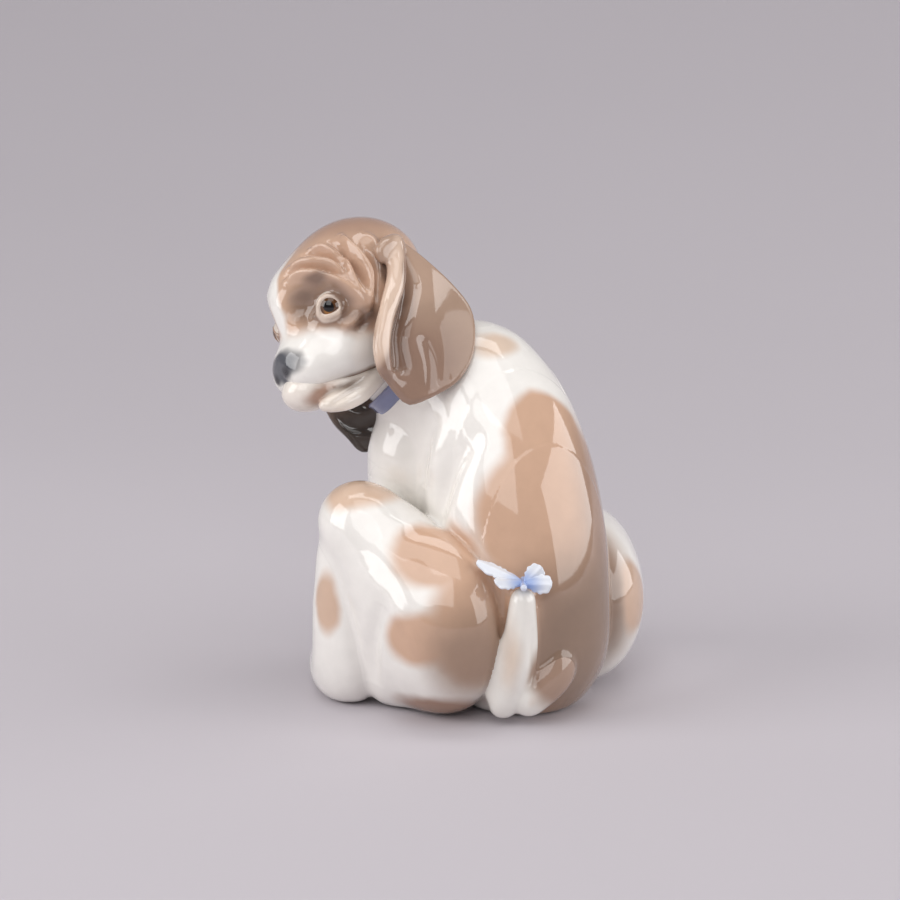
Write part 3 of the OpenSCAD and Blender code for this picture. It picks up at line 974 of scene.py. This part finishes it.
# %% Paint the eyes
for side, mirror in (("left", 1), ("right", -1)):
    look = GAZE * (1, mirror, 1)
    at = EYE * (1, mirror, 1)
    iris = [("#573619", at + look * 4.2, (3.1, 3.1, 3.1), 0.06),
            ("#a8702f", at + look * 4.3 + (0.9, -0.6 * mirror, -1.3), (1.7, 1.7, 1.4), 0.4),
            ("#080404", at + look * 4.6, (1.9, 1.9, 1.9), 0.1)]
    paint([f"{side}_eye"], glazed(f"painted_enamel_{side}_eye", "#e4d9cd", iris, in_head_frame=True,
                                  rough=0.03, mottle=0.03, wave=0.0))

# %% Paint the collar and the butterfly
BAND = [("#7f85a6", COLLAR_AT, (18, 18, 15.5), 0.04)]
paint(["collar"], glazed("cobalt_wash_collar", "#989db8", BAND))
WASH = [("#8ea5d6", tail_tip + (0, 0, 1), (4.4, 4.4, 2.6), 0.7)]
paint(["butterfly_body"] + list(WINGS), glazed("cobalt_wash_butterfly", "#dfe2e9", WASH, mottle=0.1))

# %% [markdown]
# ## The bare foot of the figure
# The closing plate is wiped clean of glaze so that it won't stick to the kiln
# shelf. Unglazed porcelain is dense and matt with a fine grain, like eggshell.

# %% Unglazed porcelain
GRAIN_SIZE, DUST_SIZE = 0.4, 6  # millimetres
bare, tree, shader = new_material("unglazed_porcelain_base")
place = add(tree, "ShaderNodeTexCoord").outputs["Object"]
grain = add(tree, "ShaderNodeTexNoise", {}, {"Vector": place},
            Scale=1 / (GRAIN_SIZE * MM), Detail=3.0)
dust = add(tree, "ShaderNodeTexNoise", {}, {"Vector": place},
           Scale=1 / (DUST_SIZE * MM), Detail=3.0)
tint = add(tree, "ShaderNodeMix", {"data_type": "RGBA"}, {"Factor": dust.outputs["Fac"]})
tint.inputs[6].default_value = linear("#e9e4dc")
tint.inputs[7].default_value = linear("#d8d0c6")
bump = add(tree, "ShaderNodeBump", {}, {"Height": grain.outputs["Fac"]}, Strength=0.5, Distance=0.05 * MM)
shader.inputs["Roughness"].default_value = 0.62
tree.links.new(tint.outputs[2], shader.inputs["Base Color"])
tree.links.new(bump.outputs["Normal"], shader.inputs["Normal"])
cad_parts["base_plate"].data.materials.clear()
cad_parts["base_plate"].data.materials.append(bare)
print("the CAD's base plate is given", bare.name)

# %% [markdown]
# ## The camera
# The figure is seen from behind its left side, so that it looks back at us, from
# a little above. The camera aims at the middle of the figure's own box, a few
# millimetres to the left and higher, where the head is.

# %% Camera
bpy.context.view_layer.update()
AZIMUTH, ELEVATION = math.radians(150), math.radians(14)
right_dir = Vector((math.cos(AZIMUTH), math.sin(AZIMUTH), 0))
near_dir = Vector((math.sin(AZIMUTH) * math.cos(ELEVATION), -math.cos(AZIMUTH) * math.cos(ELEVATION),
                   math.sin(ELEVATION)))
up_dir = near_dir.cross(right_dir)
cam_data = bpy.data.cameras.new("camera")
cam = bpy.data.objects.new("camera", cam_data)
bpy.context.scene.collection.objects.link(cam)
bpy.context.scene.camera = cam
DISTANCE = 0.95                 # metres from the figure
corners = [Vector((x, y, z)) for x, y, z in itertools.product(*zip(*cad_box))]
middle = [(min(spread) + max(spread)) / 2 for spread in ([c.dot(right_dir) for c in corners],
                                                         [c.dot(up_dir) for c in corners])]
AIM_LEFT, AIM_UP = 6.1, 2.0     # from the middle of the box, in millimetres
target = right_dir * (middle[0] - AIM_LEFT * MM) + up_dir * (middle[1] + AIM_UP * MM)
print("camera aims at, mm:", [round(c / MM, 1) for c in target])
cam.location = target + near_dir * DISTANCE
cam.rotation_mode = "QUATERNION"
cam.rotation_quaternion = near_dir.to_track_quat("Z", "Y")
cam_data.sensor_width = 36      # millimetres, as in a full-frame camera
SEEN = 0.26                     # metres across the picture at the figure
cam_data.lens = cam_data.sensor_width * DISTANCE / SEEN
print("lens", round(cam_data.lens, 1), "mm")

# %% [markdown]
# ## The studio
# A sheet of lavender-grey paper is swept up behind the table. A wide window-like
# softbox stands on the right, where it draws the tall bright shape down the
# back. One stands above the camera, one is overhead, a fourth lifts the left
# side, and the last one lights the paper behind.

# %% The sweep
def sweep(depth_front, depth_back, rise, radius, half, steps=24):
    """A paper sweep: flat, then an arc, then straight up, as one smooth sheet."""
    arc = [(depth_back + radius * math.sin(a), radius * (1 - math.cos(a)))
           for a in np.linspace(0, math.pi / 2, steps)]
    line = [(-depth_front, 0)] + arc + [(depth_back + radius, rise)]
    away = Vector((-near_dir.x, -near_dir.y, 0)).normalized()
    points = [away * d + right_dir * side + Vector((0, 0, z)) for d, z in line for side in (-half, half)]
    faces = [(2 * i, 2 * i + 1, 2 * i + 3, 2 * i + 2) for i in range(len(line) - 1)]
    mesh = bpy.data.meshes.new("paper_sweep")
    mesh.from_pydata([tuple(p) for p in points], [], faces)
    mesh.shade_smooth()
    return mesh


sheet = sweep(depth_front=2.5, depth_back=0.3, rise=2.6, radius=1.8, half=3.0)
backdrop = bpy.data.objects.new("paper_sweep", sheet)
bpy.context.scene.collection.objects.link(backdrop)
SHADE_SIZE = 300                # millimetres across the paper's faint clouds of shade
paper, tree, shader = new_material("matt_paper")
place = add(tree, "ShaderNodeTexCoord").outputs["Object"]
fibre = add(tree, "ShaderNodeTexNoise", {}, {"Vector": place},
            Scale=1 / (SHADE_SIZE * MM), Detail=2.0)
tint = add(tree, "ShaderNodeMix", {"data_type": "RGBA"}, {"Factor": fibre.outputs["Fac"]})
tint.inputs[6].default_value = linear("#c4bec3")
tint.inputs[7].default_value = linear("#c9c3c8")
tree.links.new(tint.outputs[2], shader.inputs["Base Color"])
shader.inputs["Roughness"].default_value = 0.8
backdrop.data.materials.append(paper)

# %% The softboxes
FIGURE = Vector((0, 0, 0.065))  # about the middle of the figure
SOFTBOXES = {  # right, up, towards the camera, (width, height), in metres; radiance; aimed this far beyond
    "window_softbox": (1.0, 0.30, 0.15, (1.5, 0.66), 2.6, 0),
    "camera_softbox": (-0.27, 0.75, 1.0, (0.9, 0.8), 1.9, 0),
    "top_softbox": (0.05, 1.15, 0.5, (0.9, 0.7), 1.4, 0),
    "left_softbox": (-1.0, 0.45, 0.35, (0.8, 0.9), 3.1, 0),
    "backdrop_softbox": (0.0, 1.3, -0.2, (1.2, 0.6), 2.7, 1.2),
}


def softbox(name, side, height, near, size, radiance, aim):
    """A rectangular light that keeps its radiance whatever its size."""
    light = bpy.data.lights.new(name, "AREA")
    light.shape = "RECTANGLE"
    light.size, light.size_y = size
    light.energy = radiance * math.pi * size[0] * size[1]
    lamp = bpy.data.objects.new(name, light)
    bpy.context.scene.collection.objects.link(lamp)
    flat = Vector((near_dir.x, near_dir.y, 0)).normalized()
    lamp.location = FIGURE + right_dir * side + flat * near + Vector((0, 0, height))
    lamp.rotation_mode = "QUATERNION"
    lamp.rotation_quaternion = (lamp.location - FIGURE + flat * aim).to_track_quat("Z", "Y")
    print(name, "power", round(light.energy, 1), "W")


for name, settings in SOFTBOXES.items():
    softbox(name, *settings)

# %% The room's own light
world = bpy.data.worlds.new("studio")
bpy.context.scene.world = world
world.use_nodes = True
room = world.node_tree.nodes["Background"]
room.inputs["Color"].default_value = linear("#c9c6cc")
room.inputs["Strength"].default_value = 0.27
bpy.context.scene.view_settings.view_transform = "Standard"

# %% Size note
print("CAD box, mm:", [[round(c / MM, 1) for c in corner] for corner in cad_box])
